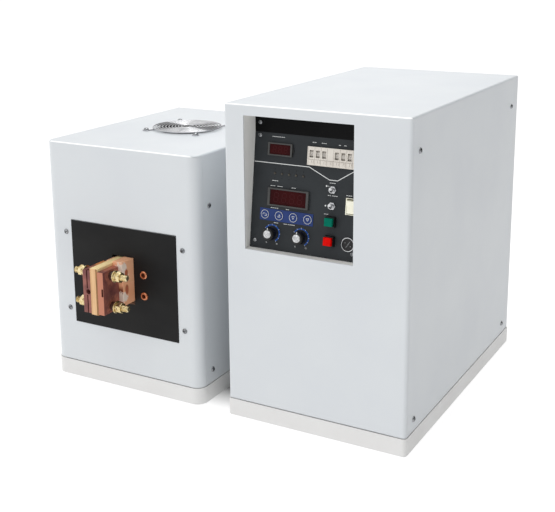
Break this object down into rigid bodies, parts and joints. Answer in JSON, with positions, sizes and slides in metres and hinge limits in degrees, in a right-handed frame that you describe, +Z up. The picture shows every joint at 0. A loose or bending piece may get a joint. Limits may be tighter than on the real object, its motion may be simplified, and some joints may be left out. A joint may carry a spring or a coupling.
{
  "type": "induction heater",
  "caption": "Split induction heater: tall power cabinet with a recessed control panel beside a low output head with copper output plates, water ports and a guarded roof fan.",
  "frame": {"origin": "on the floor, under the middle of the whole object's bounding box", "axes": "+X to the right seen from the front, from the output head to the power cabinet; +Y to the back; +Z up; the object faces -Y"},
  "size_m": [0.5278, 0.48, 0.4],
  "materials": {
    "case_paint": "satin light grey powder coat",
    "base_paint": "satin off-white powder coat",
    "panel_paint": "satin dark grey paint with printed marks",
    "strip_paint": "black sheet",
    "reveal_paint": "satin pale paint",
    "meter_black": "gloss",
    "meter_red": "tinted dark red window",
    "timer_cream": "cream",
    "wheel_white": "white with printed digits",
    "lens": "clear lens",
    "strip_blue": "printed film",
    "key_face": "printed film",
    "knob_black": "black with silver cap",
    "switch_metal": "polished",
    "button_black": "satin",
    "button_green": "gloss green",
    "button_red": "gloss red",
    "rocker_black": "satin",
    "rocker_cream": "gloss cream",
    "socket_chrome": "polished",
    "screw_steel": "bright zinc",
    "board_black": "satin black laminate",
    "plate_copper": "polished copper",
    "insulation_yellow": "amber laminate",
    "insulation_tan": "tan laminate",
    "connector_copper": "tarnished copper",
    "brass_fasteners": "polished brass",
    "port_copper": "copper tube",
    "fan_black": "satin black",
    "guard_chrome": "bright wire",
    "circuit_green": "lacquered board",
    "plate_aluminium": "machined",
    "module_grey": "moulded",
    "capacitor_blue": "sleeved can",
    "terminal_black": "moulded",
    "core_grey": "ferrite",
    "winding_copper": "enamelled copper",
    "fitting_brass": "turned brass",
    "gland_black": "moulded"
  },
  "bodies": {
    "cabinets": {"power_base": "base_paint", "power_front_panel": "case_paint", "power_cover": "case_paint", "power_rear_panel": "case_paint", "panel_surround": "reveal_paint", "control_panel": "panel_paint", "upper_strip": "strip_paint", "meter_frames": "meter_black", "meter_windows": "meter_red", "timer_housing": "timer_cream", "indicator_lenses": "lens", "key_strip": "strip_blue", "potentiometers": "screw_steel", "toggle_bodies": "switch_metal", "button_collars": "button_black", "rocker_frame": "rocker_black", "foot_switch_socket": "socket_chrome", "panel_screws": "screw_steel", "control_board": "circuit_green", "cold_plate": "plate_aluminium", "power_modules": "module_grey", "bus_capacitors": "capacitor_blue", "terminal_block": "terminal_black", "head_base": "base_paint", "head_front_panel": "case_paint", "head_cover": "case_paint", "head_rear_panel": "case_paint", "insulating_board": "board_black", "base_plates": "plate_copper", "insulation_sheet": "insulation_yellow", "insulation_block": "insulation_tan", "clamp_connectors": "connector_copper", "connector_fasteners": "brass_fasteners", "water_ports": "port_copper", "fan_frame": "fan_black", "fan_guard": "guard_chrome", "transformer_core": "core_grey", "primary_windings": "winding_copper", "resonance_capacitors": "capacitor_blue", "case_screws": "screw_steel", "water_fittings": "fitting_brass", "cable_glands": "gland_black"},
    "timer_wheel_1": {"timer_wheel_1": "wheel_white"},
    "timer_wheel_2": {"timer_wheel_2": "wheel_white"},
    "timer_wheel_3": {"timer_wheel_3": "wheel_white"},
    "timer_wheel_4": {"timer_wheel_4": "wheel_white"},
    "timer_wheel_5": {"timer_wheel_5": "wheel_white"},
    "timer_wheel_6": {"timer_wheel_6": "wheel_white"},
    "key_1": {"key_1": "key_face"},
    "key_2": {"key_2": "key_face"},
    "key_3": {"key_3": "key_face"},
    "key_4": {"key_4": "key_face"},
    "left_knob": {"knob_left": "knob_black"},
    "right_knob": {"knob_right": "knob_black"},
    "upper_toggle": {"toggle_lever_upper": "switch_metal"},
    "lower_toggle": {"toggle_lever_lower": "switch_metal"},
    "green_button": {"start_button": "button_green"},
    "red_button": {"stop_button": "button_red"},
    "rocker": {"rocker_key": "rocker_cream"},
    "rotor": {"fan_rotor": "fan_black"}
  },
  "joints": [
    {"name": "timer_wheel_1_turn", "type": "hinge", "parent": "cabinets", "child": "timer_wheel_1", "pos_m": [0.1273, -0.15343, 0.3429], "axis": [1, 0, 0], "continuous": true},
    {"name": "timer_wheel_2_turn", "type": "hinge", "parent": "cabinets", "child": "timer_wheel_2", "pos_m": [0.1355, -0.15343, 0.3429], "axis": [1, 0, 0], "continuous": true},
    {"name": "timer_wheel_3_turn", "type": "hinge", "parent": "cabinets", "child": "timer_wheel_3", "pos_m": [0.1437, -0.15343, 0.3429], "axis": [1, 0, 0], "continuous": true},
    {"name": "timer_wheel_4_turn", "type": "hinge", "parent": "cabinets", "child": "timer_wheel_4", "pos_m": [0.1601, -0.15343, 0.3429], "axis": [1, 0, 0], "continuous": true},
    {"name": "timer_wheel_5_turn", "type": "hinge", "parent": "cabinets", "child": "timer_wheel_5", "pos_m": [0.1683, -0.15343, 0.3429], "axis": [1, 0, 0], "continuous": true},
    {"name": "timer_wheel_6_turn", "type": "hinge", "parent": "cabinets", "child": "timer_wheel_6", "pos_m": [0.1765, -0.15343, 0.3429], "axis": [1, 0, 0], "continuous": true},
    {"name": "key_1_press", "type": "slide", "parent": "cabinets", "child": "key_1", "axis": [0, 0.9923, -0.1236], "range_m": [0, 0.0005], "stiffness_N_per_m": 800, "springref_m": -0.0005},
    {"name": "key_2_press", "type": "slide", "parent": "cabinets", "child": "key_2", "axis": [0, 0.9923, -0.1236], "range_m": [0, 0.0005], "stiffness_N_per_m": 800, "springref_m": -0.0005},
    {"name": "key_3_press", "type": "slide", "parent": "cabinets", "child": "key_3", "axis": [0, 0.9923, -0.1236], "range_m": [0, 0.0005], "stiffness_N_per_m": 800, "springref_m": -0.0005},
    {"name": "key_4_press", "type": "slide", "parent": "cabinets", "child": "key_4", "axis": [0, 0.9923, -0.1236], "range_m": [0, 0.0005], "stiffness_N_per_m": 800, "springref_m": -0.0005},
    {"name": "left_knob_turn", "type": "hinge", "parent": "cabinets", "child": "left_knob", "pos_m": [0.0785, -0.17047, 0.24334], "axis": [0, -0.9923, 0.1236], "range_deg": [-150, 150]},
    {"name": "right_knob_turn", "type": "hinge", "parent": "cabinets", "child": "right_knob", "pos_m": [0.118, -0.17047, 0.24334], "axis": [0, -0.9923, 0.1236], "range_deg": [-150, 150]},
    {"name": "upper_toggle_tip", "type": "hinge", "parent": "cabinets", "child": "upper_toggle", "pos_m": [0.1565, -0.1634, 0.30413], "axis": [1, 0, 0], "range_deg": [0, 25]},
    {"name": "lower_toggle_tip", "type": "hinge", "parent": "cabinets", "child": "lower_toggle", "pos_m": [0.1565, -0.16575, 0.28528], "axis": [1, 0, 0], "range_deg": [0, 25]},
    {"name": "green_button_press", "type": "slide", "parent": "cabinets", "child": "green_button", "axis": [0, 0.9923, -0.1236], "range_m": [0, 0.003], "stiffness_N_per_m": 500, "springref_m": -0.002},
    {"name": "red_button_press", "type": "slide", "parent": "cabinets", "child": "red_button", "axis": [0, 0.9923, -0.1236], "range_m": [0, 0.003], "stiffness_N_per_m": 500, "springref_m": -0.002},
    {"name": "rocker_tip", "type": "hinge", "parent": "cabinets", "child": "rocker", "pos_m": [0.1815, -0.164, 0.28718], "axis": [1, 0, 0], "range_deg": [-20, 0]},
    {"name": "rotor_spin", "type": "hinge", "parent": "cabinets", "child": "rotor", "pos_m": [-0.141, -0.024, 0.3185], "axis": [0, 0, 1], "continuous": true}
  ]
}
